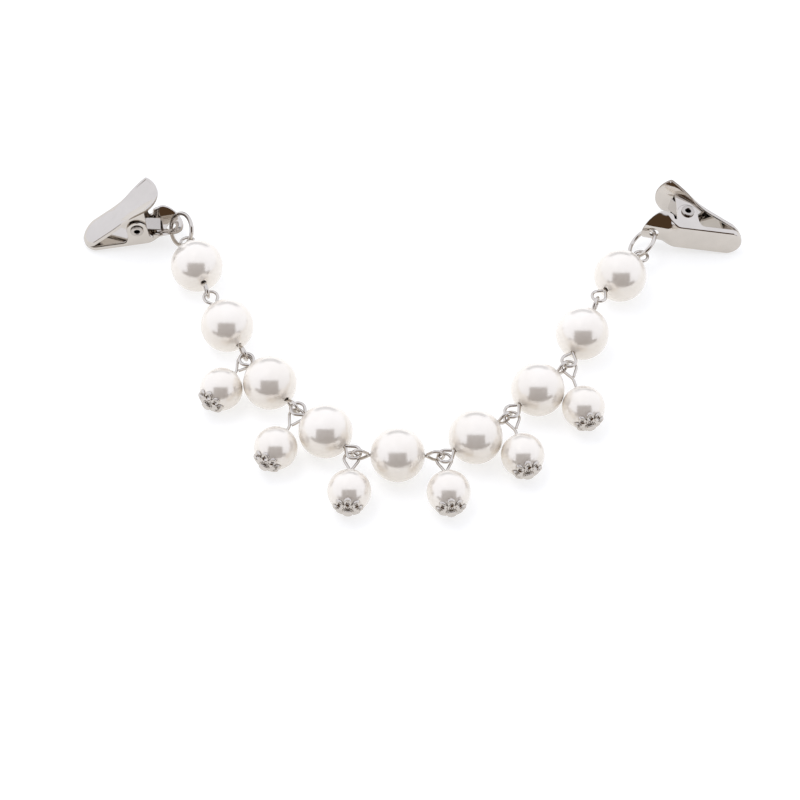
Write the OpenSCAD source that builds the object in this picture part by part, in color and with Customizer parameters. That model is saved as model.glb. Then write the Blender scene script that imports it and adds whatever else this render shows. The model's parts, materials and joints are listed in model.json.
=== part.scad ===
// Pearl chain with a spring clip at each end, laid out on a flat surface.
// Units are millimetres, +Z is up and the surface is at z = 0.
// Seen from above, the chain sags towards -Y and the clips are at -X and +X.

/* [Pearls] */
// diameter of the large pearls of the chain
pearl_d = 10; // [8:0.5:12]
// diameter of the small hanging pearls
drop_d = 8; // [6:0.5:9]
// diameter of the hole drilled through every pearl
bore_d = 1.4; // [1.3:0.1:1.8]

/* [Wire] */
// diameter of the eye pin wire that joins the large pearls
pin_d = 0.6; // [0.5:0.05:0.7]
// diameter of the head pin wire of the hanging pearls
head_pin_d = 0.55; // [0.45:0.05:0.65]
// inner diameter of the loops on the eye pins
eye_in_d = 2; // [2:0.1:2.6]
// inner diameter of the loops on the head pins
drop_eye_in_d = 2.15; // [2.1:0.05:2.6]
// smallest gap left between wires that hook into each other
gap = 0.1; // [0.08:0.02:0.14]

/* [Jump rings] */
// wire diameter of the jump rings at the clips
ring_wire_d = 0.8; // [0.6:0.1:0.9]
// outer diameter of the jump rings
ring_d = 7; // [6.6:0.1:8]

/* [Bead caps] */
// diameter of the petal cap across its petals
cap_d = 5.7; // [5:0.1:6]
// thickness of the cap's metal
cap_t = 0.3; // [0.25:0.05:0.4]
// number of petals
petals = 8; // [6:1:9]

/* [Clips] */
// width of the clip over its jaws
clip_w = 6; // [5.6:0.2:8]
// width of the thumb tab at its end
tab_w = 8.8; // [8:0.2:10]
// thickness of the clip's sheet metal
sheet = 0.5; // [0.4:0.05:0.6]
// height of the rim round the base plate
rim_h = 1.1; // [0.9:0.1:1.4]
// width of the flat spring
spring_w = 3; // [2:0.2:3.2]

/* [Hidden] */
$fn = 48;
ball_fn = 96;
tiny = 0.01;
over = 1;

// Chain layout: nine large pearls, heading of each one's wire in degrees
turn = [-72, -62, -50, -43, -1, 38, 46, 67, 52];
// where the next loop sits in the play of the upright loop, along and across the chain
slack = [[0.31, 0.6], [0.5, -0.46], [-0.59, 0.34], [-0.36, -0.57], [0.3, -0.6], [0.6, 0.31], [0.67, 0.11], [0.67, 0.12]];
// joint whose upright loop belongs to the pearl on its right; at the others it is on the left
right_hand_joint = 3;
// height of each pearl's left and right loop over its middle, in steps of wire
lift = [[-3.5, 2.6], [1.6, -1.2], [-0.2, -0.5], [0.5, 0.5], [-0.5, -0.5], [0.5, -0.5], [0.5, -0.5], [0.5, 1.2], [2.2, -3.3]];
// roll of each pearl's left and right loop, 0 lies flat and 90 stands upright
roll = [[0, 90], [0, 90], [0, 90], [0, 0], [90, 90], [0, 90], [0, 90], [0, 90], [0, 0]];
// heading of each hanging pearl and the extra length of wire above it
drop_turn = [-125, -118, -93, -83.5, -77, -74.5];
drop_neck = [0.7, 1.2, 0.1, 0, 1.4, 2.4];

pearl_r = pearl_d / 2;
drop_r = drop_d / 2;
pin_r = pin_d / 2;
head_r = head_pin_d / 2;
eye_r = (eye_in_d + pin_d) / 2;
drop_eye_r = (drop_eye_in_d + head_pin_d) / 2;
// distance from a loop's pointed end to its middle
eye_reach = eye_r * 1.58;
drop_reach = drop_eye_r * 1.93;
reach = pearl_r + eye_reach;
play = eye_in_d / 2 - pin_r - gap;
lift_step = (pin_r + head_r + gap) / 2;
// how much thinner the straight wire is than the loop hammered out of its end
draw = 0.015;
hook = drop_eye_in_d / 2 - pin_r - gap;
ring_r = (ring_d - ring_wire_d) / 2;

// Clip profile: x runs from the nose to the tail, z up from the underside
nose_r = clip_w * 0.53;
pivot_x = 11.1;
pivot_z = 4.3;
ear_r = 2;
tray_l = 13;
hole_x = 17.2;
hole_r = 0.95;
tail_rise = 5;
tail_r = 4.2;
tail_w = clip_w + 1.6;
tail_end_r = tail_w / 2 + 0.1;
tail_l = hole_x + 2.4;
hole_z = sheet / 2 + (hole_x - tray_l) * tan(tail_rise) + 0.05;
plate_rise = 32.5;
plate_x = 1.3;
plate_z = rim_h + 1.15;
flange_h = 1.1;
tab_rise = 28;
tab_x = 10;
tab_z = plate_z + (tab_x - plate_x) * tan(plate_rise) - 0.1;
tab_l = 7.3;
tab_r = 9.2;
rivet_r = 0.95;
rivet_gap = 0.06;
rivet_bore_r = 0.55;
rivet_head_r = 1.25;
rivet_head_t = 0.35;
spring_t = 0.35;
spring_r = rivet_r + 0.15 + spring_t / 2;

function unit(a) = [cos(a), sin(a), 0];
function norm_to(v) = v / norm(v);
function along(j) = norm_to(unit(turn[j]) + unit(turn[j + 1]));
function across(j) = [-along(j)[1], along(j)[0], 0];
function on_left(j) = j == right_hand_joint ? 0 : 1;
function step(j) = (reach + on_left(j) * eye_r) * unit(turn[j])
    + play * (slack[j][0] * along(j) + slack[j][1] * across(j))
    + (reach + (1 - on_left(j)) * eye_r) * unit(turn[j + 1]);
function steps(a, b) = a >= b ? [0, 0, 0] : step(a) + steps(a + 1, b);
middle = 4;
function pearl_at(i) = (i >= middle ? steps(middle, i) : -steps(i, middle)) + [0, 0, pearl_r];
function loop_at(i, side) = pearl_at(i) + side * reach * unit(turn[i])
    + [0, 0, lift_step * lift[i][side > 0 ? 1 : 0]];
// far end of the upright loop at a joint, where the others hook in
function post_at(j) = on_left(j) == 1
    ? loop_at(j, 1) + eye_r * unit(turn[j])
    : loop_at(j + 1, -1) - eye_r * unit(turn[j + 1]);
function drop_from(k) = post_at(k + 1) - [0, 0, lift_step * 1.15];
function drop_run(k) = hook + drop_reach + drop_neck[k] + drop_r;
function drop_tilt(k) = asin((drop_from(k)[2] - drop_r) / drop_run(k));
function drop_at(k) = drop_from(k) + cos(drop_tilt(k)) * drop_run(k) * unit(drop_turn[k])
    - [0, 0, sin(drop_tilt(k)) * drop_run(k)];

// Jump rings: the way from the pearl's loop to the ring's middle, from there to the
// clip's hole, and the way the ring faces
ring_l_from = [-1.285, 2.831, 0.284];
ring_l_to = [-2.134, 1.759, -1.401];
ring_l_facing = norm_to([-0.7199, -0.4577, 0.5218]);
ring_r_from = [0.397, 3.305, -0.288];
ring_r_to = [2.171, 1.284, 1.803];
ring_r_facing = norm_to([-0.687, 0.1695, 0.7066]);
ring_l_at = loop_at(0, -1) + ring_l_from;
ring_r_at = loop_at(8, 1) + ring_r_from;
hole_l_at = ring_l_at + ring_l_to;
hole_r_at = ring_r_at + ring_r_to;
// where the rings are cut open, in degrees
ring_l_cut = 192;
ring_r_cut = 337;

// Left clip stands on its base plate, nose down, tail held up by its ring
left_turn = 5;
left_roll = -3;
// keeps the low corner of the rolled nose off the surface
nose_lift = 0.05;
left_pitch = asin((hole_l_at[2] - nose_lift) / norm([hole_x, hole_z])) - atan(hole_z / hole_x);
// Right clip lies on its side, the side of its nose and a corner of its thumb tab on the surface
right_turn = -1.7;
nose_rest = [2.4, 3.5];
tab_rest = [15, 11.6];
tab_corner = tab_w / 2 + 0.19;
share = nose_rest[1] / tab_rest[1];
right_pitch = asin(((1 - share) * hole_r_at[2] - clip_w / 2 + share * tab_corner)
    / (hole_x - nose_rest[0] - share * (hole_x - tab_rest[0])));
tab_mid_z = hole_r_at[2] - (hole_x - tab_rest[0]) * sin(right_pitch);
right_lean = asin((tab_mid_z - tab_corner) / tab_rest[1]);

// The whole layout is moved so that its box stands on the origin
left_nose_x = hole_l_at[0] - hole_x;
right_nose_x = hole_r_at[0] + hole_x;
foot_room = 0.92;
clip_room = 10.6;
low_y = min(drop_at(2)[1], drop_at(3)[1]) - drop_r - foot_room;
high_y = hole_r_at[1] + clip_room;
shift = [-(left_nose_x + right_nose_x) / 2, -(low_y + high_y) / 2, 0];

pearl_white = [0.95, 0.93, 0.89];
silver = [0.78, 0.77, 0.75];
steel = [0.7, 0.69, 0.67];

// Round wire loop in the XY plane, its middle at the origin
module wire_loop(radius, wire_r) {
  rotate_extrude()
    translate([radius, 0])
      circle(r = wire_r);
}

// Ball with a hole drilled through it along Z
module bored_ball(diameter) {
  rotate_extrude($fn = ball_fn)
    intersection() {
      circle(d = diameter, $fn = ball_fn);
      translate([bore_d / 2, -diameter])
        square([diameter, 2 * diameter]);
    }
}

module place_pearl(i) {
  rise = lift_step * (lift[i][1] - lift[i][0]);
  translate(pearl_at(i) + shift)
    rotate([0, -asin(rise / (2 * reach)), turn[i]])
      children();
}

module large_pearl(i) {
  color(pearl_white)
    place_pearl(i)
      rotate([0, 90, 0])
        bored_ball(pearl_d);
}

module eye_pin(i) {
  color(silver)
    place_pearl(i)
      translate([0, 0, lift_step * (lift[i][0] + lift[i][1]) / 2]) {
        rotate([0, 90, 0])
          cylinder(h = 2 * (reach - eye_r), r = pin_r - draw, center = true);
        for (side = [0, 1])
          translate([(2 * side - 1) * reach, 0, 0])
            rotate([roll[i][side], 0, 0])
              wire_loop(eye_r, pin_r);
      }
}

// Hanging pearl's own frame: middle of the pearl at the origin, loop towards +Z
module place_drop(k) {
  translate(drop_at(k) + shift)
    rotate([0, 0, drop_turn[k]])
      rotate([0, -90 + drop_tilt(k), 0])
        children();
}

module small_pearl(k) {
  color(pearl_white)
    place_drop(k)
      bored_ball(drop_d);
}

pin_head_r = 0.9;
pin_head_t = 0.35;
cap_in_r = drop_r + gap;
cap_out_r = cap_in_r + cap_t;
petal_r = cap_d * 0.127;
petal_at = cap_d / 2 - petal_r;

module petal_outline() {
  difference() {
    union() {
      circle(r = cap_d * 0.31);
      for (i = [0 : petals - 1])
        rotate(i * 360 / petals)
          translate([petal_at, 0])
            circle(r = petal_r);
    }
    circle(r = bore_d / 2);
    for (i = [0 : petals - 1])
      rotate(i * 360 / petals)
        translate([petal_at, 0])
          circle(r = petal_r * 0.42);
  }
}

module bead_cap(k) {
  color(silver)
    place_drop(k)
      intersection() {
        difference() {
          sphere(r = cap_out_r, $fn = ball_fn);
          sphere(r = cap_in_r, $fn = ball_fn);
        }
        translate([0, 0, -cap_out_r - over])
          linear_extrude(height = cap_out_r)
            petal_outline();
      }
}

module head_pin(k) {
  foot = cap_out_r + gap;
  loop_z = drop_r + drop_neck[k] + drop_reach;
  color(silver)
    place_drop(k) {
      translate([0, 0, -foot])
        cylinder(h = foot + loop_z - drop_eye_r, r = head_r - draw);
      translate([0, 0, -foot - pin_head_t])
        cylinder(h = pin_head_t + tiny, r = pin_head_r);
      translate([0, 0, loop_z])
        rotate([0, 90, 0])
          wire_loop(drop_eye_r, head_r);
    }
}

// Ring round the direction it faces, its cut turned to the angle given
module jump_ring(at, facing, cut) {
  color(silver)
    translate(at + shift)
      rotate([0, acos(facing[2]), atan2(facing[1], facing[0])])
        rotate([0, 0, cut])
          rotate_extrude(angle = 358)
            translate([ring_r, 0])
              circle(d = ring_wire_d);
}

module jump_ring_left() {
  jump_ring(ring_l_at, ring_l_facing, ring_l_cut);
}

module jump_ring_right() {
  jump_ring(ring_r_at, ring_r_facing, ring_r_cut);
}

module place_left() {
  translate(hole_l_at + shift)
    rotate([left_roll, -left_pitch, left_turn])
      translate([-hole_x, 0, -hole_z])
        children();
}

module place_right() {
  translate(hole_r_at + shift)
    rotate([-right_lean, right_pitch, right_turn])
      rotate([90, 0, 180])
        translate([-hole_x, 0, -hole_z])
          children();
}

// Outline of the jaws seen from above, drawn in by the inset all round
module jaw_outline(inset, length) {
  intersection() {
    translate([inset, inset - clip_w / 2])
      square([length, clip_w - 2 * inset]);
    union() {
      translate([nose_r, 0])
        circle(r = nose_r - inset);
      translate([nose_r, -clip_w])
        square([length, 2 * clip_w]);
    }
  }
}

module tail_outline() {
  start = tray_l - 0.9;
  end_x = tail_l - tail_end_r;
  polygon([[start, -clip_w / 2 + tiny], [end_x, -tail_end_r + tiny], [end_x, tail_end_r - tiny], [start, clip_w / 2 - tiny]]);
  translate([end_x, 0])
    circle(r = tail_end_r);
}

// Flat piece in the XZ plane, from y to y plus its thickness
module upright(y, thickness) {
  translate([0, y + thickness, 0])
    rotate([90, 0, 0])
      linear_extrude(height = thickness)
        children();
}

module ear_sides(inner_face, thickness) {
  for (y = [inner_face, -inner_face - thickness])
    upright(y, thickness)
      children();
}

module clip_base() {
  tail_z = tail_r + 0.05;
  bore = rivet_r + rivet_gap;
  difference() {
    union() {
      difference() {
        linear_extrude(height = rim_h)
          jaw_outline(0, tray_l);
        translate([0, 0, sheet])
          linear_extrude(height = rim_h)
            jaw_outline(sheet, tray_l);
      }
      intersection() {
        translate([tray_l, 0, tail_z])
          rotate([0, 90 - tail_rise, 0])
            translate([0, 0, -2])
              difference() {
                cylinder(h = 12, r = tail_r);
                translate([0, 0, -over])
                  cylinder(h = 14, r = tail_r - sheet);
              }
        linear_extrude(height = rim_h + 1.9)
          tail_outline();
      }
      ear_sides(clip_w / 2 - sheet, sheet) {
        polygon([[pivot_x - 2.7, sheet], [pivot_x - 1.9, pivot_z - 1], [pivot_x - 1.9, pivot_z], [pivot_x + 1.9, pivot_z], [pivot_x + 1.9, pivot_z - 1], [pivot_x + 2.3, sheet]]);
        translate([pivot_x, pivot_z])
          circle(r = ear_r);
      }
    }
    translate([pivot_x, 0, pivot_z])
      rotate([90, 0, 0])
        cylinder(h = clip_w + 2 * over, r = bore, center = true);
    translate([hole_x, 0, -over])
      cylinder(h = tail_r, r = hole_r);
  }
}

module left_base() {
  color(silver)
    place_left()
      clip_base();
}

module right_base() {
  color(silver)
    place_right()
      clip_base();
}

function plate_top(x) = plate_z + (x - plate_x) * tan(plate_rise);

// Room under the lever's top plate, drawn in by the inset
module lever_room(inset, low_z) {
  drop_z = inset / cos(plate_rise);
  intersection() {
    linear_extrude(height = 14)
      jaw_outline(inset, tab_x + 0.6 - inset);
    upright(-clip_w, 2 * clip_w)
      polygon([
        [-1, low_z],
        [plate_x, low_z],
        [tab_x + 2, low_z + (tab_x + 2 - plate_x) * tan(plate_rise)],
        [tab_x + 2, plate_top(tab_x + 2) - drop_z],
        [-1, plate_top(-1) - drop_z]
      ]);
  }
}

module tab_outline() {
  root_w = clip_w - 0.2;
  end_r = 5.6;
  intersection() {
    polygon([[-0.4, -root_w / 2], [1, -root_w / 2], [tab_l - 1.3, -tab_w / 2], [tab_l + 1, -tab_w / 2], [tab_l + 1, tab_w / 2], [tab_l - 1.3, tab_w / 2], [1, root_w / 2], [-0.4, root_w / 2]]);
    translate([tab_l - end_r, 0])
      circle(r = end_r);
  }
}

module clip_lever() {
  inner_face = clip_w / 2 - 2 * sheet - gap;
  difference() {
    union() {
      difference() {
        lever_room(0, rim_h + gap);
        lever_room(sheet, rim_h - over);
      }
      translate([tab_x, 0, tab_z])
        rotate([0, -tab_rise, 0])
          intersection() {
            translate([-over, 0, tab_r])
              rotate([0, 90, 0])
                difference() {
                  cylinder(h = tab_l + 2 * over, r = tab_r + sheet);
                  translate([0, 0, -over])
                    cylinder(h = tab_l + 4 * over, r = tab_r);
                }
            translate([0, 0, -over])
              linear_extrude(height = 3 + over)
                tab_outline();
          }
      ear_sides(inner_face, sheet) {
        polygon([[7.6, plate_top(7.6) - sheet * 0.7], [pivot_x - 1.85, pivot_z - 0.3], [pivot_x + 1.85, pivot_z - 0.3], [13.1, tab_z + 3.1 * tan(tab_rise) - sheet * 0.2], [tab_x, plate_top(tab_x) - sheet * 0.7]]);
        translate([pivot_x, pivot_z])
          circle(r = ear_r - 0.08);
      }
    }
    translate([pivot_x, 0, pivot_z])
      rotate([90, 0, 0])
        cylinder(h = clip_w, r = rivet_r + rivet_gap, center = true);
  }
}

module left_lever() {
  color(silver)
    place_left()
      clip_lever();
}

module right_lever() {
  color(silver)
    place_right()
      clip_lever();
}

module clip_rivet() {
  body_l = clip_w + 2 * gap + 2 * tiny;
  translate([pivot_x, 0, pivot_z])
    rotate([90, 0, 0])
      difference() {
        union() {
          cylinder(h = body_l, r = rivet_r, center = true);
          for (side = [0, 1])
            mirror([0, 0, side])
              translate([0, 0, clip_w / 2 + gap])
                cylinder(h = rivet_head_t, r = rivet_head_r);
        }
        cylinder(h = clip_w + 4 * over, r = rivet_bore_r, center = true);
      }
}

module left_rivet() {
  color(steel)
    place_left()
      clip_rivet();
}

module right_rivet() {
  color(steel)
    place_right()
      clip_rivet();
}

// One arm of the spring, leaving the bend at the angle given
module spring_arm(angle, side, length) {
  rotate([0, 0, angle])
    translate([-10 * tiny, side * spring_r - spring_t / 2 + tiny, 0])
      cube([length, spring_t - 2 * tiny, spring_w]);
}

module clip_spring() {
  upper = 43;
  lower = -15;
  translate([pivot_x, spring_w / 2, pivot_z])
    rotate([90, 0, 0]) {
      rotate([0, 0, upper + 90])
        rotate_extrude(angle = 180 + lower - upper)
          translate([spring_r - spring_t / 2, 0])
            square([spring_t, spring_w]);
      spring_arm(upper, 1, 5);
      spring_arm(lower, -1, 4.8);
    }
}

module left_spring() {
  color(steel)
    place_left()
      clip_spring();
}

module right_spring() {
  color(steel)
    place_right()
      clip_spring();
}

module pearl_1() {
  large_pearl(0);
}

module pearl_2() {
  large_pearl(1);
}

module pearl_3() {
  large_pearl(2);
}

module pearl_4() {
  large_pearl(3);
}

module pearl_5() {
  large_pearl(4);
}

module pearl_6() {
  large_pearl(5);
}

module pearl_7() {
  large_pearl(6);
}

module pearl_8() {
  large_pearl(7);
}

module pearl_9() {
  large_pearl(8);
}

module eye_pin_1() {
  eye_pin(0);
}

module eye_pin_2() {
  eye_pin(1);
}

module eye_pin_3() {
  eye_pin(2);
}

module eye_pin_4() {
  eye_pin(3);
}

module eye_pin_5() {
  eye_pin(4);
}

module eye_pin_6() {
  eye_pin(5);
}

module eye_pin_7() {
  eye_pin(6);
}

module eye_pin_8() {
  eye_pin(7);
}

module eye_pin_9() {
  eye_pin(8);
}

module drop_pearl_1() {
  small_pearl(0);
}

module drop_pearl_2() {
  small_pearl(1);
}

module drop_pearl_3() {
  small_pearl(2);
}

module drop_pearl_4() {
  small_pearl(3);
}

module drop_pearl_5() {
  small_pearl(4);
}

module drop_pearl_6() {
  small_pearl(5);
}

module drop_cap_1() {
  bead_cap(0);
}

module drop_cap_2() {
  bead_cap(1);
}

module drop_cap_3() {
  bead_cap(2);
}

module drop_cap_4() {
  bead_cap(3);
}

module drop_cap_5() {
  bead_cap(4);
}

module drop_cap_6() {
  bead_cap(5);
}

module head_pin_1() {
  head_pin(0);
}

module head_pin_2() {
  head_pin(1);
}

module head_pin_3() {
  head_pin(2);
}

module head_pin_4() {
  head_pin(3);
}

module head_pin_5() {
  head_pin(4);
}

module head_pin_6() {
  head_pin(5);
}

// which sub-part to draw

pearl_1();
pearl_2();
pearl_3();
pearl_4();
pearl_5();
pearl_6();
pearl_7();
pearl_8();
pearl_9();
eye_pin_1();
eye_pin_2();
eye_pin_3();
eye_pin_4();
eye_pin_5();
eye_pin_6();
eye_pin_7();
eye_pin_8();
eye_pin_9();
drop_pearl_1();
drop_pearl_2();
drop_pearl_3();
drop_pearl_4();
drop_pearl_5();
drop_pearl_6();
drop_cap_1();
drop_cap_2();
drop_cap_3();
drop_cap_4();
drop_cap_5();
drop_cap_6();
head_pin_1();
head_pin_2();
head_pin_3();
head_pin_4();
head_pin_5();
head_pin_6();
jump_ring_left();
jump_ring_right();
left_base();
left_lever();
left_rivet();
left_spring();
right_base();
right_lever();
right_rivet();
right_spring();
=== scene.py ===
import json
import math

import bmesh
import bpy
import numpy as np
from mathutils import Matrix, Vector


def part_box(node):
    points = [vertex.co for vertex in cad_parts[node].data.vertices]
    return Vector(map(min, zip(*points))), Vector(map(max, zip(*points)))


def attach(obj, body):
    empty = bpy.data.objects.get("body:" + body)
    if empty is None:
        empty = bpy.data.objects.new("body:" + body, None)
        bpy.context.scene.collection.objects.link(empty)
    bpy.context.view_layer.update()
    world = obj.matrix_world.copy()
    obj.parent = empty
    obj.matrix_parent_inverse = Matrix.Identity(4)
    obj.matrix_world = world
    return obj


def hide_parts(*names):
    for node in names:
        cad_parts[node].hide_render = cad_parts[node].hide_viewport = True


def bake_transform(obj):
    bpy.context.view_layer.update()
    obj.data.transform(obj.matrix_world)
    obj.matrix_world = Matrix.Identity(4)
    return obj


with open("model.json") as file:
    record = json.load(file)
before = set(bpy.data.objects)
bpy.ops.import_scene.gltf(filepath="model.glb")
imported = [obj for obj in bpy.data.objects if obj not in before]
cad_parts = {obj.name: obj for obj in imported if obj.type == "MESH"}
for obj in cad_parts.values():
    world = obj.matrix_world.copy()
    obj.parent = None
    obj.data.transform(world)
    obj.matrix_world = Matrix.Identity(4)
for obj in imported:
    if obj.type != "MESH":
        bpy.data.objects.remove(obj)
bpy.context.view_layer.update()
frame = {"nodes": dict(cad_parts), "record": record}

MM = 0.001
# side of the square picture, in its own points
PICTURE = 800

# The photo's camera: height over the surface, distance and size of a millimetre in the picture
CAMERA_RISE = math.radians(55)
CAMERA_FAR = 500 * MM
PIXELS_PER_MM = 5.368
SENSOR = 36.0
# where the photo's middle lies on the surface, seen from the middle pearl
AIM_FROM_PEARL = Vector((0.41, 15.61, -5)) * MM
# nearest and farthest things that the camera sees, in metres
CAMERA_SEES = (0.01, 10)


def link(thing):
    bpy.context.scene.collection.objects.link(thing)
    return thing


def middle(node):
    low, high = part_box(node)
    return (low + high) / 2


# Camera
def make_camera():
    aim = middle("pearl_5") + AIM_FROM_PEARL
    away = Vector((0, -math.cos(CAMERA_RISE), math.sin(CAMERA_RISE)))
    data = bpy.data.cameras.new("camera")
    data.sensor_width = SENSOR
    data.lens = PIXELS_PER_MM * CAMERA_FAR / MM * SENSOR / PICTURE
    data.clip_start, data.clip_end = CAMERA_SEES
    camera = link(bpy.data.objects.new("camera", data))
    camera.location = aim + away * CAMERA_FAR
    camera.rotation_euler = (math.pi / 2 - CAMERA_RISE, 0, 0)
    bpy.context.scene.camera = camera


make_camera()


# Materials
class Shader:
    """A material's node tree with its main shader at hand."""

    def __init__(self, name):
        self.material = bpy.data.materials.new(name)
        self.material.use_nodes = True
        self.tree = self.material.node_tree
        self.main = self.tree.nodes["Principled BSDF"]

    def node(self, kind):
        return self.tree.nodes.new(kind)

    def join(self, source, target):
        self.tree.links.new(source, target)

    def set(self, **values):
        for name, value in values.items():
            self.main.inputs[name.replace("_", " ")].default_value = value


def noise(shader, scale, detail, seed_offset=0.0):
    place = shader.node("ShaderNodeTexCoord")
    shift = shader.node("ShaderNodeMapping")
    shift.inputs["Location"].default_value = (seed_offset,) * 3
    made = shader.node("ShaderNodeTexNoise")
    made.inputs["Scale"].default_value = scale
    made.inputs["Detail"].default_value = detail
    shader.join(place.outputs["Object"], shift.inputs["Vector"])
    shader.join(shift.outputs["Vector"], made.inputs["Vector"])
    return made.outputs["Fac"]


def ramp(shader, source, stops):
    """A colour read off the stops, each a place and a colour; a new ramp has two already."""
    made = shader.node("ShaderNodeValToRGB")
    for element, (place, colour) in zip(made.color_ramp.elements, stops):
        element.position = place
        element.color = (*colour, 1)
    shader.join(source, made.inputs["Fac"])
    return made.outputs["Color"]


def spread(shader, source, low, high):
    made = shader.node("ShaderNodeMapRange")
    made.inputs["To Min"].default_value = low
    made.inputs["To Max"].default_value = high
    shader.join(source, made.inputs["Value"])
    return made.outputs["Result"]


def bump(shader, source, strength, distance):
    made = shader.node("ShaderNodeBump")
    made.inputs["Strength"].default_value = strength
    made.inputs["Distance"].default_value = distance
    shader.join(source, made.inputs["Height"])
    shader.join(made.outputs["Normal"], shader.main.inputs["Normal"])


PEARL_CREAM = (0.88, 0.82, 0.735)
PEARL_WHITE = (0.92, 0.865, 0.79)
SILVER_TONE = (0.62, 0.575, 0.525)
STEEL_TONE = (0.5, 0.46, 0.42)
# brightness of the plating's darker spots, as a share of its colour
DARKER_SPOTS = 0.93


def pearl_material():
    shader = Shader("pearl")
    clouds = noise(shader, scale=160, detail=4)
    tint = ramp(shader, clouds, [(0.3, PEARL_CREAM), (0.7, PEARL_WHITE)])
    shader.join(tint, shader.main.inputs["Base Color"])
    grain = noise(shader, scale=420, detail=3, seed_offset=3)
    shader.join(spread(shader, grain, low=0.16, high=0.24), shader.main.inputs["Roughness"])
    shader.set(Metallic=0.4, IOR=1.55)
    shader.set(Coat_Weight=0.35, Coat_Roughness=0.06, Coat_IOR=1.5)
    bump(shader, noise(shader, scale=900, detail=2, seed_offset=7), strength=0.05, distance=0.05 * MM)
    return shader.material


def chrome_material(name, colour, rough_low, rough_high):
    shader = Shader(name)
    darker = tuple(DARKER_SPOTS * c for c in colour)
    clouds = noise(shader, scale=300, detail=4)
    shader.join(ramp(shader, clouds, [(0.25, darker), (0.75, colour)]), shader.main.inputs["Base Color"])
    grain = noise(shader, scale=700, detail=5, seed_offset=2)
    shader.join(spread(shader, grain, rough_low, rough_high), shader.main.inputs["Roughness"])
    shader.set(Metallic=1.0)
    bump(shader, noise(shader, scale=250, detail=2, seed_offset=5), strength=0.04, distance=0.08 * MM)
    return shader.material


PEARL = pearl_material()
SILVER = chrome_material("silver", SILVER_TONE, rough_low=0.035, rough_high=0.07)
STEEL = chrome_material("steel", STEEL_TONE, rough_low=0.1, rough_high=0.18)

SLOT_OF = {part["node"]: part["material_slot"] for part in frame["record"]["subparts"]}
FINISH = {"pearl": PEARL, "silver": SILVER, "steel": STEEL}


# Making pieces
def piece(name, node, points, faces):
    """A mesh from points in metres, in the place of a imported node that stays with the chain."""
    data = bpy.data.meshes.new(name)
    data.from_pydata([tuple(point) for point in points], [], faces)
    data.validate()
    mesh = bmesh.new()
    mesh.from_mesh(data)
    bmesh.ops.recalc_face_normals(mesh, faces=mesh.faces)
    mesh.to_mesh(data)
    mesh.free()
    finish_piece(link(bpy.data.objects.new(name, data)), node, "chain")


def finish_piece(made, node, body, creases=35):
    """Material, shading and ties of a piece; an edge that bends by more degrees than creases stays sharp."""
    slot = SLOT_OF[node]
    made.data.materials.clear()
    made.data.materials.append(FINISH[slot])
    made.data.shade_smooth()
    made.data.set_sharp_from_angle(angle=math.radians(creases))
    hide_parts(node)
    if body:
        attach(made, body)


def apply_modifiers(made):
    graph = bpy.context.evaluated_depsgraph_get()
    data = bpy.data.meshes.new_from_object(made.evaluated_get(graph))
    made.modifiers.clear()
    old = made.data
    made.data = data
    bpy.data.meshes.remove(old)


# a direction with more upward share than this counts as upright
UPRIGHT = 0.9


def across(direction):
    """Two unit vectors square to a direction and to each other."""
    start = Vector((0, 0, 1)) if abs(direction.z) < UPRIGHT else Vector((1, 0, 0))
    first = direction.cross(start).normalized()
    return first, direction.cross(first).normalized()


def turned(origin, axis):
    """Matrix that takes Z to an axis through a point."""
    axis = axis.normalized()
    first, second = across(axis)
    turn = Matrix((first, second, axis)).transposed()
    return Matrix.Translation(origin) @ turn.to_4x4()


def bands(rings, sides, closed=False):
    """Faces between rings of points that follow each other, and back to the first where closed."""
    faces = []
    for ring in range(rings if closed else rings - 1):
        here, there = ring * sides, (ring + 1) % rings * sides
        for side in range(sides):
            ahead = (side + 1) % sides
            faces.append((here + side, here + ahead, there + ahead, there + side))
    return faces


def capped_bands(rings, sides):
    """Faces between rings of points, and one over each end."""
    last = (rings - 1) * sides
    return bands(rings, sides) + [tuple(reversed(range(sides))), tuple(range(last, last + sides))]


def circle(radius, height, sides, place):
    """Points of a circle round Z, then taken to their place."""
    made = []
    for side in range(sides):
        angle = 2 * math.pi * side / sides
        made.append(place @ Vector((radius * math.cos(angle), radius * math.sin(angle), height)))
    return made


def lathe(profile, sides, place):
    """Points and faces of a closed profile of (radius, height) turned round Z."""
    points = [spot for radius, height in profile for spot in circle(radius, height, sides, place)]
    return points, bands(len(profile), sides, closed=True)


def arc(centre, radius, start, end, steps):
    """Points of an arc in a plane, angles in degrees."""
    made = []
    for step in range(steps + 1):
        angle = math.radians(start + (end - start) * step / steps)
        made.append((centre[0] + radius * math.cos(angle), centre[1] + radius * math.sin(angle)))
    return made


def tube(path, radius, sides=16, cut=0.16):
    """Points and faces of a round wire along a path, with slightly rounded cut ends."""
    path = [Vector(point) for point in path]
    headings = []
    for index in range(len(path)):
        ahead = path[min(index + 1, len(path) - 1)] - path[max(index - 1, 0)]
        headings.append(ahead.normalized())
    normal = across(headings[0])[0]
    rings = [(path[0] - headings[0] * radius * cut, headings[0], radius * (1 - cut))]
    rings += [(point, heading, radius) for point, heading in zip(path, headings)]
    rings.append((path[-1] + headings[-1] * radius * cut, headings[-1], radius * (1 - cut)))
    points = []
    for point, heading, size in rings:
        normal = (normal - heading * normal.dot(heading)).normalized()
        other = heading.cross(normal)
        for side in range(sides):
            angle = 2 * math.pi * side / sides
            points.append(point + size * (math.cos(angle) * normal + math.sin(angle) * other))
    return points, capped_bands(len(rings), sides)


# Pearls: lacquered balls with a hole whose lip is rounded over
BORE = 0.9 * MM
LIP = 0.22 * MM
PEARL_SIDES = 96
PEARL_RINGS = 64
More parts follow.
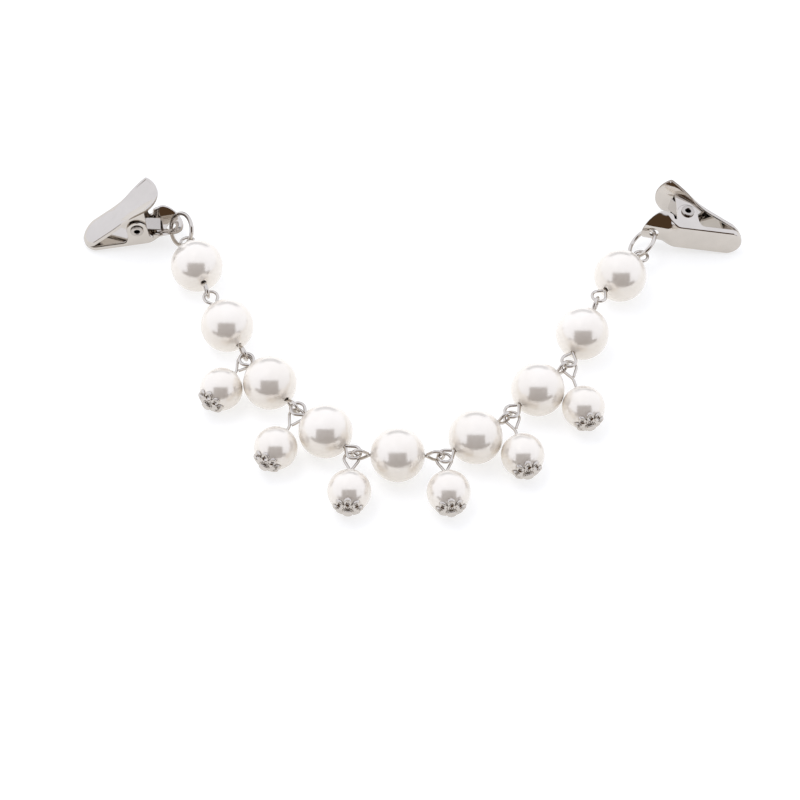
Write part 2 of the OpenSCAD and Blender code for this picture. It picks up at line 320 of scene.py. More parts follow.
# places round the lip's quarter circle, in radians
LIP_TURNS = (0.5, 0.9, 1.25, math.pi / 2)


def ball_profile(radius):
    """Half outline of a drilled ball with rounded lips, from the bottom lip up, then down the bore."""
    bore = BORE / 2
    start = math.degrees(math.asin((bore + LIP) / radius))
    outline = []
    for step in range(PEARL_RINGS + 1):
        angle = math.radians(start + (180 - 2 * start) * step / PEARL_RINGS)
        outline.append((radius * math.sin(angle), -radius * math.cos(angle)))
    dip = outline[-1][1] - LIP
    upper = [(bore + LIP * (1 - math.sin(t)), dip + LIP * math.cos(t)) for t in LIP_TURNS]
    lower = [(r, -z) for r, z in reversed(upper)]
    return outline + upper + lower


def make_pearl(name, axis):
    low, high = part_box(name)
    radius = (high[2] - low[2]) / 2
    place = turned(middle(name), axis)
    points, faces = lathe(ball_profile(radius), PEARL_SIDES, place)
    piece("lacquered_" + name, name, points, faces)


# Wires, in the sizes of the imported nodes: wire and inside of the loops
PIN = 0.6 * MM
HEAD_PIN = 0.55 * MM
EYE_IN = 2.0 * MM
DROP_EYE_IN = 2.15 * MM
# way from a loop's neck to its middle, as a share of the loop's radius
EYE_REACH = 1.58
DROP_REACH = 1.93
# how near a loop's free end comes to its neck, and how far from the neck the wire starts to bend
SHORT = 0.4 * MM
BEND = 0.55 * MM
# share of a loop's outer size in which its points are looked for
LOOP_SHARE = 0.9
LEG_STEPS = 10
LOOP_STEPS = 56


def cloud(node):
    data = frame["nodes"][node].data
    return np.array([vertex.co[:] for vertex in data.vertices])


def main_axes(points):
    """Directions of a node's points, the longest first."""
    _, _, rows = np.linalg.svd(points - points.mean(0), full_matrices=False)
    return rows


class Eye:
    """Where a loop at a wire's end lies: its middle, the way it points and its plane's other direction."""

    def __init__(self, points, centre, heading, outer):
        along = (points - centre) @ heading
        far = along.max()
        near = points[along > far - LOOP_SHARE * outer]
        flat = near - np.outer(near @ heading, heading)
        centre_flat = (flat.min(0) + flat.max(0)) / 2
        normal = main_axes(near)[2]
        normal = normal - heading * (normal @ heading)
        spot = centre_flat + heading * (centre @ heading + far - outer / 2)
        self.middle = Vector(spot)
        self.out = Vector(heading).normalized()
        self.side = self.out.cross(Vector(normal)).normalized()

    def path(self, radius, reach):
        """From the neck round the loop and back nearly to the neck."""
        far = radius * reach
        neck = self.middle - self.out * far
        half = math.asin(1 / reach)
        leg = math.sqrt(far * far - radius * radius)
        made = []
        for step in range(1, LEG_STEPS):
            made.append((leg * step / LEG_STEPS * math.cos(half), leg * step / LEG_STEPS * math.sin(half)))
        turn = math.degrees(math.pi / 2 + half)
        made += arc((far, 0), radius, turn, -turn, LOOP_STEPS)
        back = [(a, -b) for a, b in reversed(made[:LEG_STEPS - 1])]
        made += [spot for spot in back if math.hypot(*spot) > SHORT]
        return neck, [neck + self.out * a + self.side * b for a, b in made]


def bend(before, corner, after, steps=7):
    """Points of a smooth bend in place of a corner."""
    made = []
    for step in range(steps + 1):
        t = step / steps
        made.append(before * (1 - t) ** 2 + corner * 2 * t * (1 - t) + after * t * t)
    return made


def hooked(neck, path, inward):
    """A loop's path from inside the pearl: bend at the neck, then round the loop."""
    first = (path[0] - neck).normalized()
    start = next(k for k, spot in enumerate(path) if (spot - neck).length > BEND)
    return bend(neck + inward * BEND, neck, neck + first * BEND) + path[start:]


def straight(start, end, steps=6):
    return [start.lerp(end, step / steps) for step in range(1, steps)]


def make_eye_pin(number):
    """The wire through a large pearl; its direction goes back to the caller."""
    name = f"eye_pin_{number}"
    points = cloud(name)
    heading = main_axes(points)[0]
    heading = heading if heading[0] > 0 else -heading
    ends = []
    for way in (-1, 1):
        eye = Eye(points, points.mean(0), way * heading, EYE_IN + 2 * PIN)
        neck, path = eye.path((EYE_IN + PIN) / 2, EYE_REACH)
        ends.append(hooked(neck, path, -eye.out))
    whole = list(reversed(ends[0])) + straight(ends[0][0], ends[1][0]) + ends[1]
    made, faces = tube(whole, PIN / 2)
    piece(f"bent_eye_pin_{number}", name, made, faces)
    return Vector(heading)


# Head of the drops' pins: radius, thickness, height of its dome and its way from the pearl's middle
HEAD_R = 0.9 * MM
HEAD_T = 0.35 * MM
HEAD_DOME = 0.06 * MM
FOOT = 4.5 * MM
HEAD_SIDES = 32
# rings of the dome as shares of the head's radius, the last so small that it looks closed
DOME_RINGS = (0.6, 0.4, 0.2, 0.02)


def pin_head_profile():
    edge = HEAD_T / 2
    rim = arc((HEAD_R - edge, edge), edge, start=-90, end=60, steps=10)
    dome = [(HEAD_R * k, HEAD_T + HEAD_DOME * (1 - k * k)) for k in DOME_RINGS]
    return [(DOME_RINGS[-1] * HEAD_R, 0)] + rim + dome


def make_head_pin(number):
    """The wire through a hanging pearl; the way its loop points goes back to the caller."""
    name = f"head_pin_{number}"
    points = cloud(name)
    ball = np.array(middle(f"drop_pearl_{number}"))
    far = points[np.argmax(np.linalg.norm(points - ball, axis=1))]
    heading = main_axes(points)[0]
    heading = heading if heading @ (far - ball) > 0 else -heading
    eye = Eye(points, ball, heading, DROP_EYE_IN + 2 * HEAD_PIN)
    neck, path = eye.path((DROP_EYE_IN + HEAD_PIN) / 2, DROP_REACH)
    upper = hooked(neck, path, -eye.out)
    foot = Vector(ball) - eye.out * FOOT
    made, faces = tube([foot] + straight(foot, upper[0]) + upper, HEAD_PIN / 2)
    head, head_faces = lathe(pin_head_profile(), HEAD_SIDES, turned(foot, -eye.out))
    start = len(made)
    faces += [tuple(start + corner for corner in face) for face in head_faces]
    piece(f"bent_head_pin_{number}", name, made + head, faces)
    return eye.out


# Jump rings: wire and half the width of the cut
RING_WIRE = 0.8 * MM
RING_SLIT = 0.05 * MM
RING_STEPS = 120


def make_jump_ring(side):
    name = "jump_ring_" + side
    points = cloud(name)
    low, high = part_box(name)
    centre = Vector((np.array(low) + np.array(high)) / 2)
    radius = np.linalg.norm(points - np.array(centre), axis=1).max() - RING_WIRE / 2
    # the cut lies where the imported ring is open
    place = turned(centre, Vector(main_axes(points)[2]))
    local = np.array([(place.inverted() @ Vector(point))[:] for point in points])
    angles = np.sort(np.arctan2(local[:, 1], local[:, 0]))
    gaps = np.diff(np.append(angles, angles[0] + 2 * math.pi))
    widest = int(np.argmax(gaps))
    cut = angles[widest] + gaps[widest] / 2
    slit = RING_SLIT / radius
    path = []
    for step in range(RING_STEPS + 1):
        angle = cut + slit + (2 * math.pi - 2 * slit) * step / RING_STEPS
        path.append(place @ Vector((radius * math.cos(angle), radius * math.sin(angle), 0)))
    made, faces = tube(path, RING_WIRE / 2, sides=20, cut=0.1)
    piece("bent_" + name, name, made, faces)


# numbers of the large pearls and of the hanging ones
PEARLS = range(1, 10)
DROPS = range(1, 7)

for number in PEARLS:
    make_pearl(f"pearl_{number}", make_eye_pin(number))
drop_headings = {}
for number in DROPS:
    drop_headings[number] = make_head_pin(number)
    make_pearl(f"drop_pearl_{number}", drop_headings[number])
for side in ("left", "right"):
    make_jump_ring(side)


# Springs and caps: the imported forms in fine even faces, smoothed
# share of the way to its neighbours' middle that a point moves in each round
SMOOTHING = 0.5
SOFT_CREASES = 60


def softened(name, node, grain, rounds, body="chain", carve=None):
    """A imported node's form in fine even faces, smoothed; grain is in millimetres."""
    source = frame["nodes"][node]
    data = source.data.copy()
    data.transform(source.matrix_world)
    data.transform(Matrix.Scale(1 / MM, 4))
    made = link(bpy.data.objects.new(name, data))
    fine = made.modifiers.new("fine", "REMESH")
    fine.mode = "VOXEL"
    fine.voxel_size = grain
    even = made.modifiers.new("even", "SMOOTH")
    even.factor = SMOOTHING
    even.iterations = rounds
    apply_modifiers(made)
    if carve:
        carve(made.data)
    made.data.transform(Matrix.Scale(MM, 4))
    finish_piece(made, node, body, SOFT_CREASES)
    return made


def middle_of(points, axis):
    """The middle of a round form along its axis."""
    first, second = across(Vector(axis))
    spot = Vector((0, 0, 0))
    for direction in (Vector(axis).normalized(), first, second):
        reach = points @ np.array(direction)
        spot += direction * (reach.min() + reach.max()) / 2
    return spot


# Rivets: radius of the tube, of its bore and of its rolled heads, and a head's thickness
RIVET_R = 0.95 * MM
RIVET_BORE = 0.55 * MM
RIVET_HEAD = 1.25 * MM
RIVET_HEAD_T = 0.35 * MM
# roundings of a head's outer edge, of its lip into the bore and of its inner edge
RIVET_ROLL = 0.16 * MM
RIVET_LIP = 0.2 * MM
RIVET_EDGE = 0.03 * MM
RIVET_SIDES = 64


def make_rivet(side):
    """A tube with both ends rolled over."""
    name = side + "_rivet"
    points = cloud(name)
    axis = main_axes(points)[0]
    centre = middle_of(points, axis)
    half = np.abs((points - np.array(centre)) @ axis).max()
    inner = half - RIVET_HEAD_T
    upper = [(RIVET_R, inner), (RIVET_HEAD - RIVET_EDGE, inner), (RIVET_HEAD, inner + RIVET_EDGE)]
    upper += arc((RIVET_HEAD - RIVET_ROLL, half - RIVET_ROLL), RIVET_ROLL, start=0, end=75, steps=6)
    upper += arc((RIVET_BORE + RIVET_LIP, half - RIVET_LIP), RIVET_LIP, start=100, end=180, steps=6)
    lower = [(radius, -height) for radius, height in reversed(upper)]
    made, faces = lathe(upper + lower, RIVET_SIDES, turned(centre, Vector(axis)))
    piece("rolled_" + name, name, made, faces)


def make_spring(side):
    """The spring's imported form in fine even faces, smoothed and tied to no body."""
    name = side + "_spring"
    made = softened("leaf_" + name, name, grain=0.08, rounds=4, body=None)
    rivet = cloud(side + "_rivet")
    pivot = middle_of(rivet, main_axes(rivet)[0])
    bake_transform(made)


# Clips: stamped sheet metal, worked out in the clip's own millimetres
# x runs from the nose to the tail, y across and z up from the underside
CLIP_HALF = 3.0
SHEET = 0.5
NOSE_R = 3.18
NOSE_STEPS = 20
PIVOT = (11.1, 4.3)
BORE_R = 1.01
CLIP_CREASES = 40
DRILL_SIDES = 64
# points nearer to each other than this become one
WELD = 0.002
# a way shorter than this has no direction
TINY = 0.01
# rows over a sheet, from its turned edge to its middle line
SHEET_SHARES = (0.2, 0.4, 0.6, 0.8, 1.0)


def smooth_step(value, low, high):
    t = min(max((value - low) / (high - low), 0), 1)
    return t * t * (3 - 2 * t)


def blended(value, stops):
    """Value read off a list of (place, value), smooth between the stops."""
    for (a, first), (b, second) in zip(stops, stops[1:]):
        if value <= b:
            return first + (second - first) * smooth_step(value, a, b)
    return stops[-1][1]


def evenly(start, end, steps):
    return [start + (end - start) * step / steps for step in range(steps + 1)]


def easing(start, end, steps):
    """Places after the start, closer to each other towards the end."""
    return [start + (end - start) * math.sin(math.pi / 2 * step / steps) for step in range(1, steps + 1)]


def clip_place(side):
    """From the clip's own millimetres to the frame."""
    joint = next(j for j in frame["record"]["behaviour"]["joints"] if j["name"] == side + "_lever_hinge")
    mount = next(m for m in frame["record"]["mounts"] if m["name"] == side + "_jaw")
    y = Vector(joint["axis"]).normalized()
    x = -Vector(mount["axis"]).normalized()
    z = x.cross(y).normalized()
    turn = Matrix((x, y, z)).transposed().to_4x4()
    origin = Vector(joint["pos_m"]) - turn.to_3x3() @ (Vector((PIVOT[0], 0, PIVOT[1])) * MM)
    return Matrix.Translation(origin) @ turn @ Matrix.Scale(MM, 4)


def closed_outline(half_of, stations):
    """Places and half widths from the far end along one side, round the nose and back."""
    nose = []
    for step in range(1, NOSE_STEPS):
        angle = math.pi / 2 * step / NOSE_STEPS
        nose.append((NOSE_R * (1 - math.cos(angle)), min(NOSE_R * math.sin(angle), CLIP_HALF)))
    one = list(reversed(nose + [(x, half_of(x)) for x in stations]))
    other = [(x, -y) for x, y in reversed(one)]
    return one + [(0.0, 0.0)] + other


def turned_rows(outline, heights, radius, line_end, point, angles):
    """Rows round a sheet's turned edge and on to its middle line; point gives the place of x and y."""
    rows = []
    for angle in angles:
        drawn = 1 - math.cos(math.radians(angle))
        left = 1 - math.sin(math.radians(angle))
        row = []
        for (x, y), height in zip(outline, heights):
            size = radius * min(1, height)
            inward = Vector((min(max(x, NOSE_R), line_end), 0)) - Vector((x, y))
            if inward.length > TINY:
                inward = inward.normalized() * size * drawn
            row.append(point(x + inward.x, y + inward.y, size * left))
        rows.append(row)
    for share in SHEET_SHARES:
        row = []
        for (x, y), height in zip(outline, heights):
            line_x = min(max(x, NOSE_R), line_end)
            length = math.hypot(line_x - x, y)
            start = radius * min(1, height) / length if length > TINY else 0
            t = start + (1 - start) * share
            row.append(point(x + (line_x - x) * t, y * (1 - t)))
        rows.append(row)
    return rows


def filled(points, faces):
    """An open mesh of points and faces, still to be worked on."""
    mesh = bmesh.new()
    corners = [mesh.verts.new(spot) for spot in points]
    for face in faces:
        mesh.faces.new([corners[k] for k in face])
    return mesh


def stamped(name, rows, up):
    """A sheet of metal behind closed rows of points; its outer face looks up where up is 1, down where -1."""
    points = [spot for row in rows for spot in row]
    mesh = filled(points, bands(len(rows), len(rows[0])))
    bmesh.ops.remove_doubles(mesh, verts=mesh.verts, dist=WELD)
    bmesh.ops.recalc_face_normals(mesh, faces=mesh.faces)
    mesh.normal_update()
    tilt = sum(face.normal.z * face.calc_area() for face in mesh.faces)
    if tilt * up < 0:
        bmesh.ops.reverse_faces(mesh, faces=mesh.faces)
    data = bpy.data.meshes.new(name)
    mesh.to_mesh(data)
    mesh.free()
    made = link(bpy.data.objects.new(name, data))
    solid = made.modifiers.new("sheet", "SOLIDIFY")
    solid.thickness = SHEET
    solid.offset = -1
    solid.use_even_offset = True
    fine = made.modifiers.new("fine", "SUBSURF")
    fine.levels = fine.render_levels = 1
    apply_modifiers(made)
    return made


def add_part(made, points, faces):
    mesh = filled(points, faces)
    bmesh.ops.recalc_face_normals(mesh, faces=mesh.faces)
    spare = bpy.data.meshes.new("spare")
    mesh.to_mesh(spare)
    mesh.free()
    whole = bmesh.new()
    whole.from_mesh(made.data)
    whole.from_mesh(spare)
    whole.to_mesh(made.data)
    whole.free()
    bpy.data.meshes.remove(spare)


def drill(made, centre, axis, radius, length):
    """A round hole straight through."""
    place = turned(Vector(centre), Vector(axis))
    points = circle(radius, -length, DRILL_SIDES, place) + circle(radius, length, DRILL_SIDES, place)
    data = bpy.data.meshes.new("drill")
    data.from_pydata([tuple(spot) for spot in points], [], capped_bands(2, DRILL_SIDES))
    bit = link(bpy.data.objects.new("drill", data))
    cut = made.modifiers.new("hole", "BOOLEAN")
    cut.operation = "DIFFERENCE"
    cut.object = bit
    cut.solver = "EXACT"
    apply_modifiers(made)
    bpy.data.objects.remove(bit)


def settle(made, side, node, body):
    """From the clip's own millimetres to its place, with material and ties."""
    made.data.transform(clip_place(side))
    finish_piece(made, node, body, CLIP_CREASES)


# Lever: a plate that rises from the nose and runs over into a wider hollow tab with a round end
PLATE_RISE = math.radians(32.5)
PLATE_CROWN = 0.012
NOSE_TOP = 1.42
TAB_RISE = math.radians(28)
TAB_START = 10.0
TAB_START_Z = 7.69
TAB_LENGTH = 7.3
TAB_TROUGH = 9.2
TAB_ROUND = 5.6
# where the plate's form runs over into the tab's
TAB_BLEND = (6.0, 13.5)
LEVER_END = TAB_START + TAB_LENGTH * math.cos(TAB_RISE)
ROUND_START = LEVER_END - TAB_ROUND * math.cos(TAB_RISE)
LEVER_LINE_END = LEVER_END - 2.2
# from here to the end the outline's places lie closer
LEVER_FINE = 13.9
LEVER_TURN = 0.5
# along x: half the width, and how far the edge is turned down
LEVER_HALVES = [(8.0, CLIP_HALF), (16.0, 4.3)]
LEVER_FLANGE = [(7.5, 1.1), (11.6, 0.12), (20, 0.05)]
FLANGE_DEPTHS = (1.0, 0.72, 0.45)
# its two upright plates at the rivet: corners, radius round the rivet, reach across and rounded edge
PLATE_CORNERS = [(7.6, 5.85), (9.25, 4.0), (12.95, 4.0), (13.3, 8.9), (10, 7.2)]
PLATE_R = 1.92
PLATES_ACROSS = ((1.9, 2.4), (-2.4, -1.9))
PLATE_EDGE = 0.07
PLATE_STEPS = 96
# a product of directions smaller than this means they run alongside each other
ALONGSIDE = 1e-9


def plate_reach():
    """How far a plate's straight sides and its circle about the pivot reach, all round."""
    made = []
    spots = [(x - PIVOT[0], z - PIVOT[1]) for x, z in PLATE_CORNERS]
    for step in range(PLATE_STEPS):
        a = 2 * math.pi * step / PLATE_STEPS
        dx, dz = math.cos(a), math.sin(a)
        far = PLATE_R
        for (x1, z1), (x2, z2) in zip(spots, spots[1:] + spots[:1]):
            ex, ez = x2 - x1, z2 - z1
            cross = dx * ez - dz * ex
            if abs(cross) < ALONGSIDE:
                continue
            t = (x1 * ez - z1 * ex) / cross
            s = (x1 * dz - z1 * dx) / cross
            if t > 0 and 0 <= s <= 1:
                far = max(far, t)
        made.append((a, far))
    return made


def upright_ring(outline, y, drawn=0):
    """Points about the pivot from (angle, reach), drawn in by a little."""
    made = []
    for angle, reach in outline:
        size = reach - drawn
        made.append((PIVOT[0] + size * math.cos(angle), y, PIVOT[1] + size * math.sin(angle)))
    return made


def plate_with_bore(outline, inner, outer):
    """A flat upright piece with its edge slightly rounded and a round bore about the pivot."""
    bore = [(angle, BORE_R) for angle, reach in outline]
    rings = [upright_ring(outline, inner, PLATE_EDGE), upright_ring(outline, inner + PLATE_EDGE)]
    rings += [upright_ring(outline, outer - PLATE_EDGE), upright_ring(outline, outer, PLATE_EDGE)]
    rings += [upright_ring(bore, outer), upright_ring(bore, inner)]
    points = [spot for ring in rings for spot in ring]
    return points, bands(len(rings), len(outline), closed=True)


def lever_half(x):
    """Half the lever's width along its middle line, the tab's end rounded."""
    wide = blended(x, LEVER_HALVES)
    if x > ROUND_START:
        across_end = 1 - ((x - ROUND_START) / (LEVER_END - ROUND_START)) ** 2
        wide = min(wide, TAB_ROUND * math.sqrt(max(across_end, 0)))
    return wide


def lever_point(x, y, down=0.0):
    """A point on the lever's upper face, or straight below it."""
    tab = smooth_step(x, *TAB_BLEND)
    plate_z = NOSE_TOP + x * math.tan(PLATE_RISE)
    tab_z = TAB_START_Z + (x - TAB_START) * math.tan(TAB_RISE)
    z = plate_z + (tab_z - plate_z) * tab
    crown = -PLATE_CROWN * y * y
    curl = TAB_TROUGH - math.sqrt(TAB_TROUGH ** 2 - y * y)
    lift = crown + (curl - crown) * tab
    lean = (PLATE_RISE + (TAB_RISE - PLATE_RISE) * tab) * tab
    return Vector((x - lift * math.sin(lean), y, z + lift * math.cos(lean) - down))


def make_lever(side):
    node = side + "_lever"
    stations = evenly(NOSE_R, LEVER_FINE, steps=44) + easing(LEVER_FINE, LEVER_END, steps=16)
    outline = closed_outline(lever_half, stations)
    flange = [blended(x, LEVER_FLANGE) for x, y in outline]
    rows = []
    for depth in FLANGE_DEPTHS:
        row = []
        for (x, y), height in zip(outline, flange):
            size = LEVER_TURN * min(1, height)
            row.append(lever_point(x, y, size + (height - size) * depth))
        rows.append(row)
    rows += turned_rows(outline, flange, LEVER_TURN, LEVER_LINE_END, lever_point, angles=(0, 30, 60, 90))
    made = stamped("stamped_" + node, rows, up=1)
    reach = plate_reach()
    for inner, outer in PLATES_ACROSS:
        add_part(made, *plate_with_bore(reach, inner, outer))
    settle(made, side, node, node)


# Base: a tray with a low wall, two ears for the rivet and a round scooped tail with a hole
TAIL_END = 19.6
TAIL_MIDDLE = 15.7
TAIL_HALF = 3.9
TAIL_HOLE_X = 17.2
TAIL_HOLE_R = 0.95
TAIL_SCOOP = 4.2
SCOOP_MOST = 2.75
# where the tray's form runs over into the tail's, and how the tail rises from there
TAIL_BLEND = (12.4, 15.2)
TAIL_RISE_START = 13
TAIL_RISE = math.radians(5)
TAIL_LIFT = 0.05
BASE_TURN = 0.45
# along x: half the width, and the wall's height
BASE_HALVES = [(12.6, CLIP_HALF), (TAIL_MIDDLE, TAIL_HALF)]
BASE_WALL = [(0, 1.1), (12.0, 1.1), (13.0, 1.7), (13.7, 1.85), (15.4, 0.06), (30, 0.05)]
WALL_SHARES = (1.0, 0.88, 0.72, 0.56, 0.4, 0.2, 0.0)
# last of the even places in front of the ears
TRAY_FRONT_END = 7.8
# the ears' edge over the wall, front and back, as (place along the wall's foot, edge x, edge z)
EAR_FRONT = [(8.05, 8.05, 1.12), (8.45, 8.5, 1.35), (8.8, 8.85, 2.1)]
EAR_FRONT += [(9.1, 9.08, 3.0), (9.35, 9.1, 3.7), (9.6, 9.1, 4.3)]
EAR_BACK = [(12.6, 13.1, 4.3), (12.75, 13.08, 3.6), (12.9, 13.05, 2.9)]
EAR_BACK += [(13.05, 13.15, 2.3), (13.3, 13.45, 1.95), (13.7, 13.85, 1.85)]
EAR_R = 2
EAR_STEPS = 12


def ear_edge():
    """The whole edge of an ear, with half a turn about the pivot between its front and back."""
    first, last = EAR_FRONT[-1][0], EAR_BACK[0][0]
    top = []
    for step in range(1, EAR_STEPS):
        angle = math.pi * step / EAR_STEPS
        foot = first + (last - first) * step / EAR_STEPS
        top.append((foot, PIVOT[0] - EAR_R * math.cos(angle), PIVOT[1] + EAR_R * math.sin(angle)))
    return EAR_FRONT + top + EAR_BACK


def base_half(x):
    """Half the base's width along its middle line, the tail's end round."""
    if x > TAIL_MIDDLE:
        return math.sqrt(max(TAIL_HALF ** 2 - (x - TAIL_MIDDLE) ** 2, 0))
    return blended(x, BASE_HALVES)


def base_point(x, y, up=0.0):
    """A point on the base's underside, or straight above it."""
    tail = smooth_step(x, *TAIL_BLEND)
    scoop = TAIL_SCOOP - math.sqrt(max(TAIL_SCOOP ** 2 - y * y, 0))
    rise = max(x - TAIL_RISE_START, 0) * math.tan(TAIL_RISE) + TAIL_LIFT * tail
    return Vector((x, y, min(scoop * tail, SCOOP_MOST) + rise + up))


def make_base(side):
    edge = ear_edge()
    stations = evenly(NOSE_R, TRAY_FRONT_END, steps=18) + [foot for foot, x, z in edge]
    stations += evenly(edge[-1][0], TAIL_MIDDLE, steps=8)[1:] + easing(TAIL_MIDDLE, TAIL_END, steps=20)
    outline = closed_outline(base_half, stations)
    edge_of = {foot: (x, z) for foot, x, z in edge}
    walls, tops = [], []
    for x, y in outline:
        wall = blended(x, BASE_WALL)
        walls.append(wall)
        if x in edge_of:
            tops.append(Vector((edge_of[x][0], y, edge_of[x][1])))
        else:
            tops.append(base_point(x, y, wall))
    rows = []
    for share in WALL_SHARES:
        row = []
        for (x, y), wall, top in zip(outline, walls, tops):
            row.append(base_point(x, y, BASE_TURN * min(1, wall)).lerp(top, share))
        rows.append(row)
    rows += turned_rows(outline, walls, BASE_TURN, TAIL_MIDDLE, base_point, angles=(30, 60, 90))
    made = stamped("stamped_" + side + "_base", rows, up=-1)
    drill(made, centre=(PIVOT[0], 0, PIVOT[1]), axis=(0, 1, 0), radius=BORE_R, length=5)
    drill(made, centre=(TAIL_HOLE_X, 0, 0), axis=(0, 0, 1), radius=TAIL_HOLE_R, length=3)
    settle(made, side, side + "_base", "chain")


for side in ("left", "right"):
    make_base(side)
    make_lever(side)
    make_rivet(side)
    make_spring(side)


# Bead caps: petals with a raised edge, a groove between them and a beaded middle, in millimetres
PETALS = 8
CAP_D = 5.7
CAP_REACH = 4.4
PETAL_R = CAP_D * 0.127
PETAL_AT = CAP_D / 2 - PETAL_R
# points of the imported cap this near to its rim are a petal's tip
RIM = 0.02
GROOVE = 0.15
# the grooves start this far under the outer face and have their full depth after this way
GROOVE_UNDER = 0.2
GROOVE_FADE = 0.15
# raised edge round a petal's middle, and ring of beads round the cap's
EDGE_R = 0.52 * CAP_D * 0.2
EDGE_WIDTH = 0.13
BEADS_R = 1.05
BEADS_WIDTH = 0.16
BEADS_HEIGHT = 0.6
BEADS_SWING = 0.4


def raised(away, radius, width):
    """Height of a soft ridge, from 0 to 1, seen from its middle."""
    return np.exp(-((away - radius) / width) ** 2)


def make_cap(number, heading):
    name = f"drop_cap_{number}"
    ball = np.array(middle(f"drop_pearl_{number}")) / MM
    foot = -np.array(heading)
    first, second = (np.array(v) for v in across(Vector(foot)))
    points = cloud(name) / MM - ball
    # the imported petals' own turn, from where the cap reaches farthest from its axis
    flat = np.stack([points @ first, points @ second], axis=1)
    far = flat[np.linalg.norm(flat, axis=1) > CAP_D / 2 - RIM]
    turn = np.angle(np.exp(1j * PETALS * np.arctan2(far[:, 1], far[:, 0])).mean()) / PETALS
    tips = [turn + 2 * math.pi * k / PETALS for k in range(PETALS)]

    def carve(mesh):
        spots = np.empty(len(mesh.vertices) * 3)
        mesh.vertices.foreach_get("co", spots)
        spots = spots.reshape(-1, 3) - ball
        size = np.linalg.norm(spots, axis=1)
        u, v = spots @ first, spots @ second
        out = np.clip((size - CAP_REACH + GROOVE_UNDER) / GROOVE_FADE, 0, 1)
        away = [np.hypot(u - PETAL_AT * math.cos(t), v - PETAL_AT * math.sin(t)) for t in tips]
        ridge = raised(np.min(away, axis=0), EDGE_R, EDGE_WIDTH)
        swing = np.cos(2 * PETALS * (np.arctan2(v, u) - turn))
        beads = raised(np.hypot(u, v), BEADS_R, BEADS_WIDTH) * (BEADS_HEIGHT + BEADS_SWING * swing)
        depth = GROOVE * out * (1 - np.clip(ridge + beads, 0, 1))
        spots *= (1 - depth / size)[:, None]
        mesh.vertices.foreach_set("co", (spots + ball).ravel())
        mesh.update()

    softened("filigree_" + name, name, grain=0.055, rounds=2, carve=carve)


for number in DROPS:
    make_cap(number, drop_headings[number])

for name, node in frame["nodes"].items():
    node.data.materials.clear()
    node.data.materials.append(FINISH[SLOT_OF[name]])


# Studio: a pale floor and a white tent around it with a dark opening at the camera's side
FLOOR_HALF = 2.0
FLOOR_TONE = (0.4, 0.4, 0.4, 1)
FLOOR_LIGHT = (1, 1, 1, 1)


def make_floor():
    data = bpy.data.meshes.new("floor")
    corners = [(x * FLOOR_HALF, y * FLOOR_HALF, 0) for x, y in ((-1, -1), (1, -1), (1, 1), (-1, 1))]
    data.from_pydata(corners, [], [(0, 1, 2, 3)])
    floor = link(bpy.data.objects.new("floor", data))
    shader = Shader("floor")
    shader.set(Base_Color=FLOOR_TONE, Roughness=0.9, Specular_IOR_Level=0.1)
    shader.set(Emission_Color=FLOOR_LIGHT, Emission_Strength=0.66)
    data.materials.append(shader.material)


make_floor()


class Sky:
    """The tent's light, worked out from the direction it comes from."""

    def __init__(self):
        world = bpy.data.worlds.new("tent")
        bpy.context.scene.world = world
        world.use_nodes = True
        self.tree = world.node_tree
        self.back = self.tree.nodes["Background"]
        place = self.tree.nodes.new("ShaderNodeTexCoord")
        self.direction = place.outputs["Generated"]

    def math(self, operation, a, b=None):
        made = self.tree.nodes.new("ShaderNodeMath")
        made.operation = operation
        for socket, value in zip(made.inputs, (a, b)):
            if value is None:
                continue
            if isinstance(value, (int, float)):
                socket.default_value = value
            else:
                self.tree.links.new(value, socket)
        return made.outputs[0]

    def edge(self, value, low, high):
        """From 0 at low to 1 at high, smooth; low may be the larger of the two."""
        made = self.tree.nodes.new("ShaderNodeMapRange")
        made.interpolation_type = "SMOOTHSTEP"
        made.inputs["From Min"].default_value = low
        made.inputs["From Max"].default_value = high
        self.tree.links.new(value, made.inputs["Value"])
        return made.outputs["Result"]


TENT_TONE = (1.12, 1.16, 1.28, 1)
OPENING_TONE = (0.1, 0.06, 0.033, 1)
# the opening's edges, each from all tent to all opening: at its foot angles over the level, then shares
# of a direction that go the camera's upward way, to the side and to the back
OPENING_FOOT = (math.radians(-14), math.radians(-8))
OPENING_TOP = (0.18, 0.12)
OPENING_SIDE = (0.65, 0.59)
OPENING_BACK = (0.15, 0.0)
# how much farther the opening reaches to the side below these angles
BRIM = 0.24
BRIM_TOP = (math.radians(14), math.radians(9))
# the tent's dim foot: angles round from the front, angles over the level, and the light it loses
DIM_ROUND = (math.radians(148), math.radians(160))
DIM_TOP = (math.radians(24), math.radians(16))
DIM_LOSS = 0.7


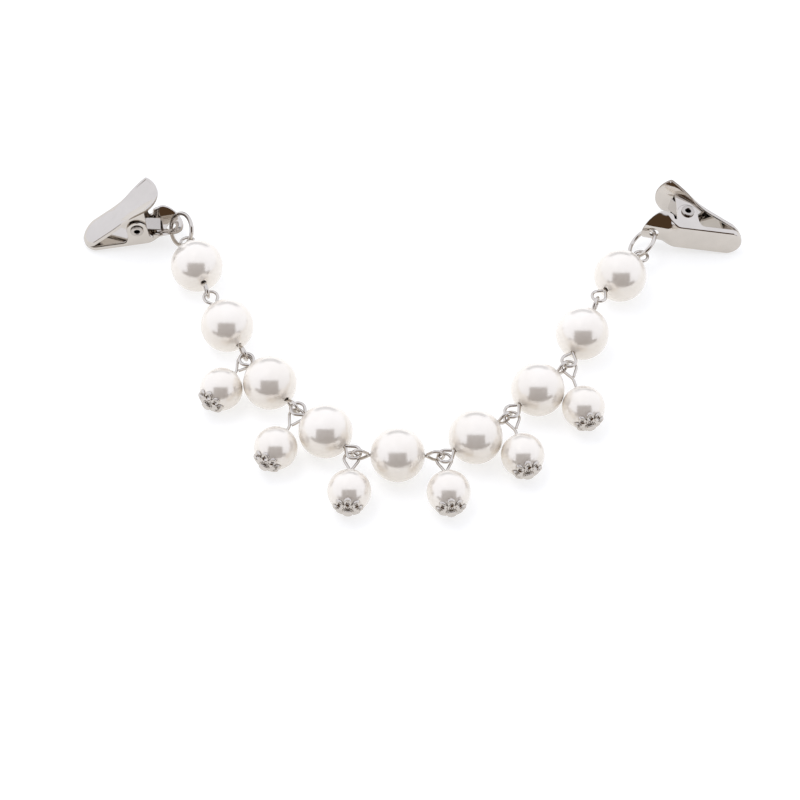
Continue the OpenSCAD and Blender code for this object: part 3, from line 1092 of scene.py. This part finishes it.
def make_tent():
    sky = Sky()
    split = sky.tree.nodes.new("ShaderNodeSeparateXYZ")
    sky.tree.links.new(sky.direction, split.inputs[0])
    x, y, z = split.outputs
    rise = sky.math("ARCSINE", z)
    front = sky.math("MULTIPLY", y, -1)
    aside = sky.math("ABSOLUTE", sky.math("ARCTAN2", x, front))
    # dark opening in front, wider at its foot
    low = sky.edge(rise, *OPENING_FOOT)
    level_part = sky.math("MULTIPLY", y, math.sin(CAMERA_RISE))
    upright_part = sky.math("MULTIPLY", z, math.cos(CAMERA_RISE))
    high = sky.edge(sky.math("ADD", level_part, upright_part), *OPENING_TOP)
    brim = sky.math("MULTIPLY", sky.edge(rise, *BRIM_TOP), BRIM)
    off_middle = sky.math("SUBTRACT", sky.math("ABSOLUTE", x), brim)
    wide = sky.math("MULTIPLY", sky.edge(off_middle, *OPENING_SIDE), sky.edge(y, *OPENING_BACK))
    opening = sky.math("MULTIPLY", sky.math("MULTIPLY", low, high), wide)
    # the tent's foot is dim at the back
    behind = sky.edge(aside, *DIM_ROUND)
    foot = sky.math("MULTIPLY", sky.edge(rise, *DIM_TOP), behind)
    light = sky.math("SUBTRACT", 1.0, sky.math("MULTIPLY", foot, DIM_LOSS))
    tone = sky.tree.nodes.new("ShaderNodeMix")
    tone.data_type = "RGBA"
    tone.inputs["A"].default_value = TENT_TONE
    tone.inputs["B"].default_value = OPENING_TONE
    sky.tree.links.new(opening, tone.inputs["Factor"])
    sky.tree.links.new(tone.outputs["Result"], sky.back.inputs["Color"])
    sky.tree.links.new(light, sky.back.inputs["Strength"])


make_tent()


def make_lamp(name, place, size, power):
    data = bpy.data.lights.new(name, "AREA")
    data.shape = "RECTANGLE"
    data.size, data.size_y = size
    data.energy = power
    lamp = link(bpy.data.objects.new(name, data))
    lamp.location = place
    lamp.rotation_euler = (-Vector(place)).to_track_quat("-Z", "Y").to_euler()
    lamp.visible_glossy = False


make_lamp("key_lamp", place=(-0.25, 0.15, 0.8), size=(0.4, 0.3), power=1.5)

bpy.context.scene.view_settings.view_transform = "Standard"
bpy.context.scene.view_settings.look = "None"
